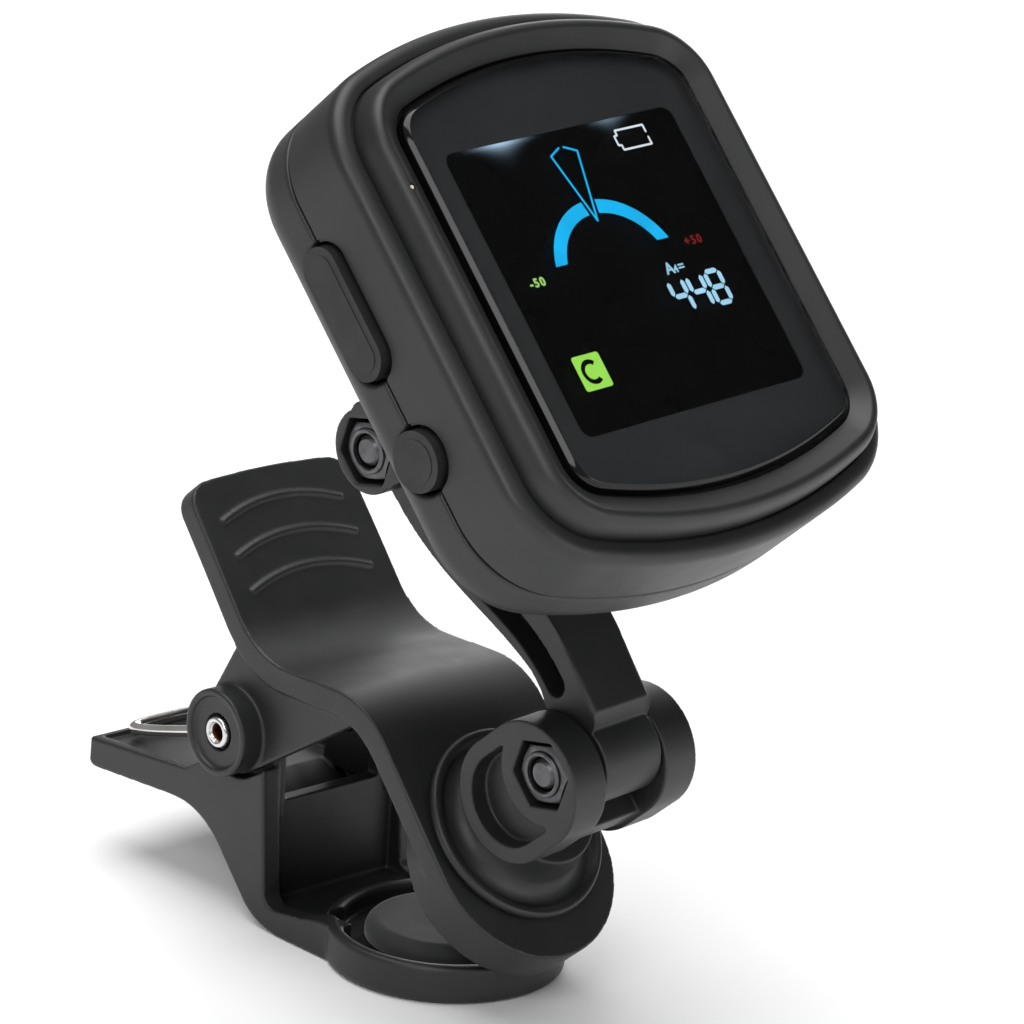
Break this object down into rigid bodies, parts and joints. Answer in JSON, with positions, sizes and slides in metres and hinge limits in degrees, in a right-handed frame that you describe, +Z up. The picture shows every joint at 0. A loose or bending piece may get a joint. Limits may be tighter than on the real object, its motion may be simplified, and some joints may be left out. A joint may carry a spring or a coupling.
{
  "type": "clip on tuner",
  "caption": "Clip-on instrument tuner: sprung padded clip, swivelling turret, two-hinged arm and a square display head with two side buttons and a charging socket.",
  "frame": {"origin": "centre of the lower pad's gripping face", "axes": "+Z up out of the lower pad, +X along the clip's rivet, +Y towards the thumb tabs; the display faces -Y and up"},
  "size_m": [0.0511, 0.0837, 0.0963],
  "materials": {
    "satin_black_plastic": "satin, fine moulded texture",
    "matte_black_plastic": "matte",
    "switch_stem_plastic": "matte",
    "lens_gloss": "polished, near black",
    "display": "dark display glass with a lit face",
    "pad_rubber": "matte rubber",
    "bright_steel": "plain bright steel",
    "dark_steel": "blackened zinc",
    "board_laminate": "green solder mask",
    "battery_foil": "pouch foil",
    "pickup_brass": "brushed",
    "switch_body": "moulded"
  },
  "bodies": {
    "lower_jaw": {"lower_jaw": "satin_black_plastic", "lower_pad": "pad_rubber", "pivot_rivet": "bright_steel", "torsion_spring": "bright_steel"},
    "upper_jaw": {"upper_jaw": "satin_black_plastic", "upper_pad": "pad_rubber", "swivel_washer": "bright_steel"},
    "turret": {"turret": "satin_black_plastic", "swivel_screw": "bright_steel", "lower_hinge_screw": "dark_steel", "lower_hinge_nut": "dark_steel"},
    "arm": {"arm": "satin_black_plastic"},
    "head": {"front_shell": "satin_black_plastic", "rear_shell": "satin_black_plastic", "lens": "lens_gloss", "display_panel": "display", "circuit_board": "board_laminate", "battery": "battery_foil", "piezo_disc": "pickup_brass", "microphone": "switch_body", "charging_socket": "bright_steel", "long_switch": "switch_body", "round_switch": "switch_body", "upper_hinge_screw": "dark_steel", "upper_hinge_nut": "dark_steel", "case_screw_1": "dark_steel", "case_screw_2": "dark_steel", "case_screw_3": "dark_steel", "case_screw_4": "dark_steel"},
    "long_button": {"long_button": "matte_black_plastic", "long_switch_stem": "switch_stem_plastic"},
    "round_button": {"round_button": "matte_black_plastic", "round_switch_stem": "switch_stem_plastic"}
  },
  "joints": [
    {"name": "jaw_open", "type": "hinge", "parent": "lower_jaw", "child": "upper_jaw", "pos_m": [0, 0.0216, 0.0156], "axis": [-1, 0, 0], "range_deg": [0, 30], "stiffness_Nm_per_rad": 0.25, "springref_deg": -34.38, "deforming": ["torsion_spring"]},
    {"name": "turret_swivel", "type": "hinge", "parent": "upper_jaw", "child": "turret", "pos_m": [0, -0.01062, 0.0143], "axis": [0, -0.7581, 0.6521], "continuous": true},
    {"name": "arm_tilt", "type": "hinge", "parent": "turret", "child": "arm", "pos_m": [-0.00005, -0.01996, 0.02353], "axis": [0.9984, 0.0364, 0.0423], "range_deg": [-30, 90]},
    {"name": "head_tilt", "type": "hinge", "parent": "arm", "child": "head", "pos_m": [-0.00204, 0.00465, 0.04938], "axis": [0.9984, 0.0364, 0.0423], "range_deg": [-90, 22]},
    {"name": "long_button_press", "type": "slide", "parent": "head", "child": "long_button", "axis": [0.9984, 0.0364, 0.0423], "range_m": [0, 0.0004], "stiffness_N_per_m": 600},
    {"name": "round_button_press", "type": "slide", "parent": "head", "child": "round_button", "axis": [0.9984, 0.0364, 0.0423], "range_m": [0, 0.0004], "stiffness_N_per_m": 600}
  ]
}
